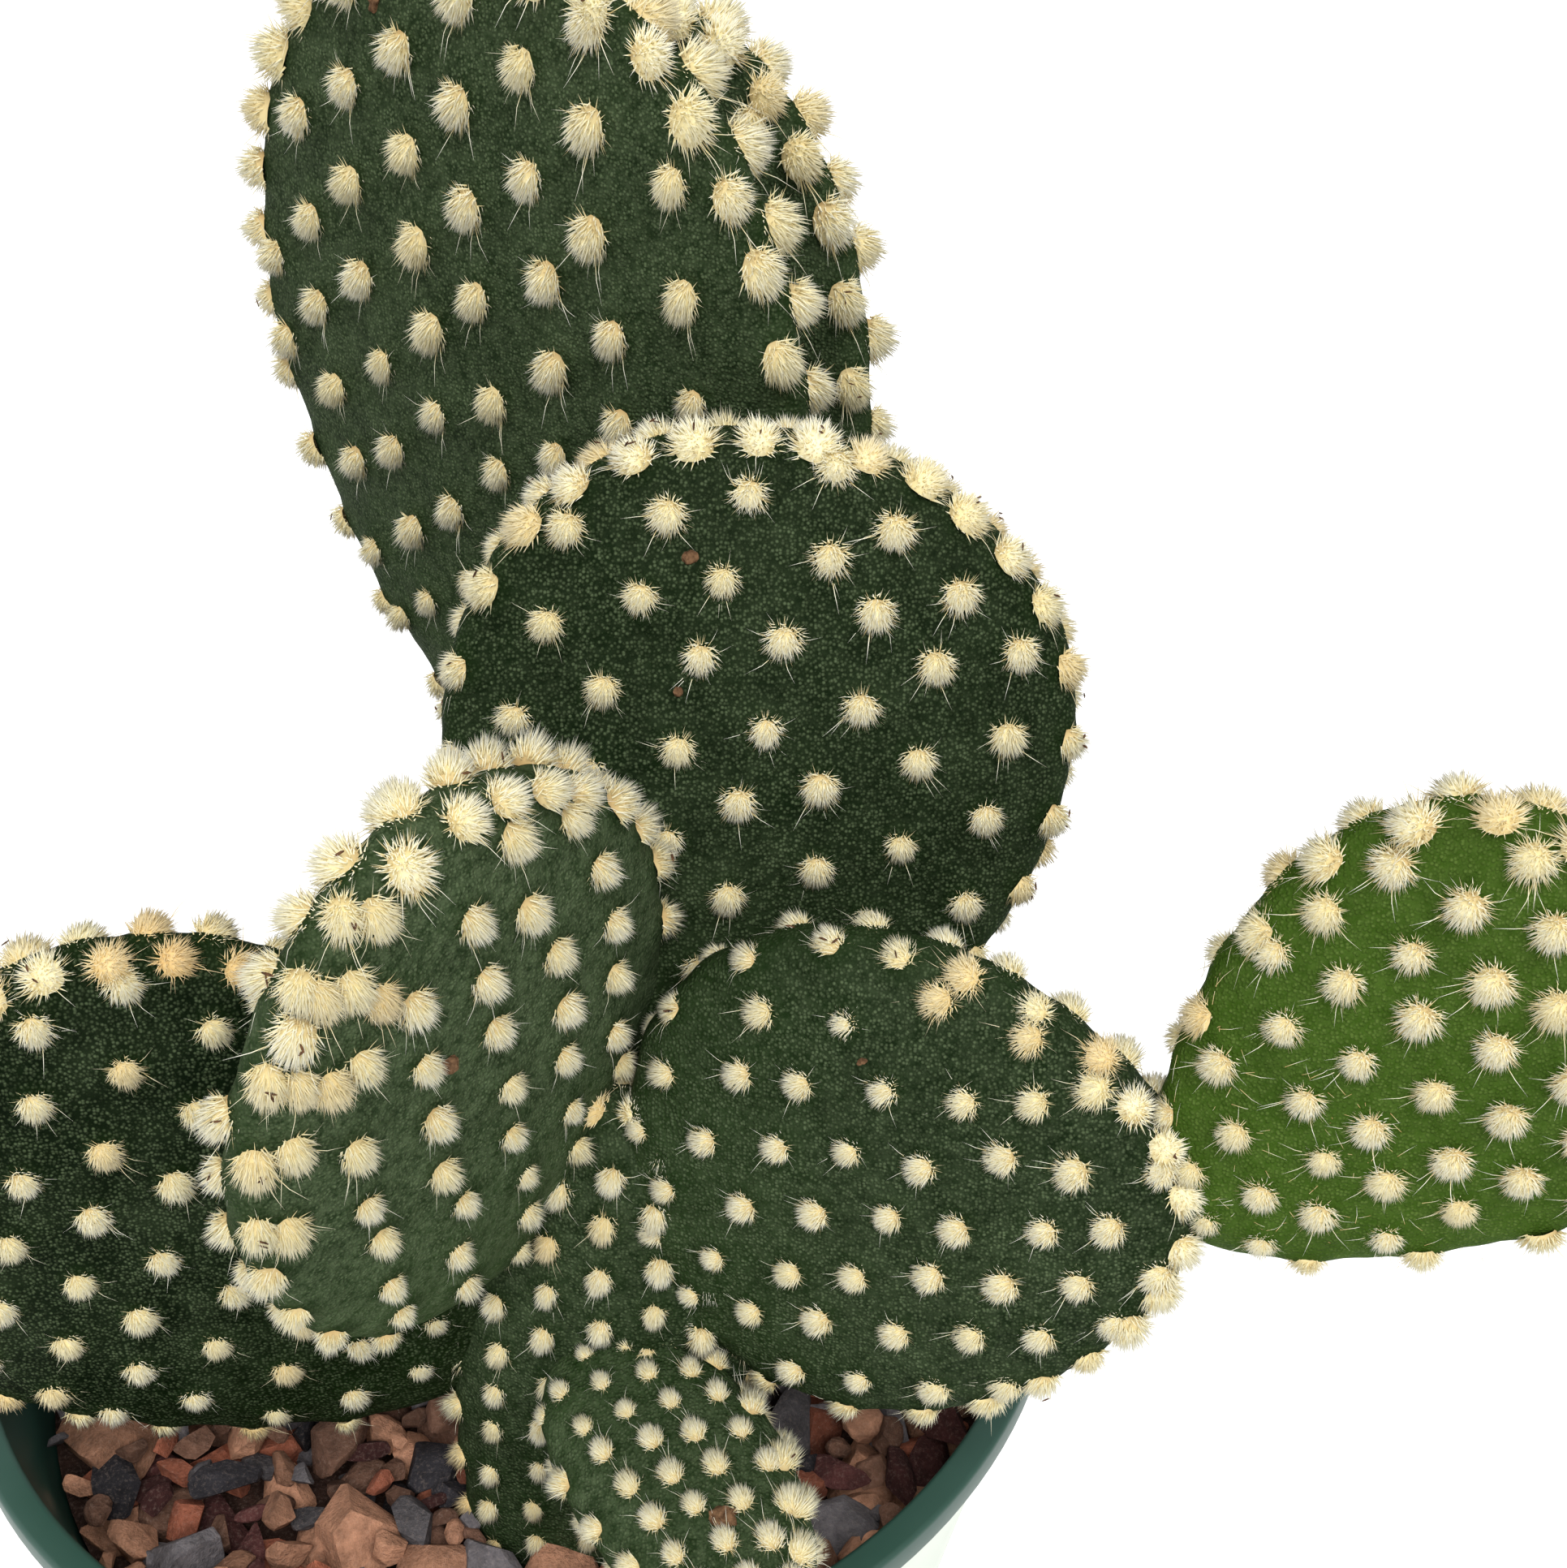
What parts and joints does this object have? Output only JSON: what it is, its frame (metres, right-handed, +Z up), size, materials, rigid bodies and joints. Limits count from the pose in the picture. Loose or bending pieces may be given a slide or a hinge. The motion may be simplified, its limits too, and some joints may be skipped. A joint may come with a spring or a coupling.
{
  "type": "potted paddle cactus",
  "caption": "Young paddle cactus with flat tufted oval pads, standing in a round tapered plastic pot topped with loose gravel.",
  "frame": {"origin": "middle of the flat underside of the pot, on the surface it stands on", "axes": "+Z up along the pot axis; the plant is seen from -Y, with +X to the right"},
  "size_m": [0.1487, 0.108, 0.204],
  "materials": {
    "pot_green_plastic": "satin",
    "potting_soil": "matte",
    "gravel_mixed": "matte",
    "pad_green_skin": "matte",
    "pad_young_skin": "satin",
    "stone_tan": "matte",
    "stone_terracotta": "matte",
    "stone_maroon": "matte",
    "stone_grey": "matte"
  },
  "bodies": {
    "root": {"far_left_pad": "pad_green_skin", "front_stem_pad": "pad_green_skin", "gravel_bed": "gravel_mixed", "left_front_pad": "pad_green_skin", "pot": "pot_green_plastic", "rear_stem_pad": "pad_green_skin", "right_front_pad": "pad_green_skin", "round_centre_pad": "pad_green_skin", "small_front_pad": "pad_green_skin", "soil": "potting_soil", "stone_01": "stone_grey", "stone_02": "stone_maroon", "stone_03": "stone_terracotta", "stone_04": "stone_tan", "stone_05": "stone_grey", "stone_06": "stone_maroon", "stone_07": "stone_terracotta", "stone_08": "stone_tan", "stone_09": "stone_grey", "stone_10": "stone_maroon", "stone_11": "stone_terracotta", "stone_12": "stone_tan", "stone_13": "stone_grey", "stone_14": "stone_maroon", "stone_15": "stone_terracotta", "stone_16": "stone_tan", "stone_17": "stone_grey", "stone_18": "stone_maroon", "stone_19": "stone_terracotta", "stone_20": "stone_tan", "stone_21": "stone_grey", "tall_left_pad": "pad_green_skin", "tall_right_pad": "pad_green_skin", "young_right_pad": "pad_young_skin"}
  },
  "joints": []
}
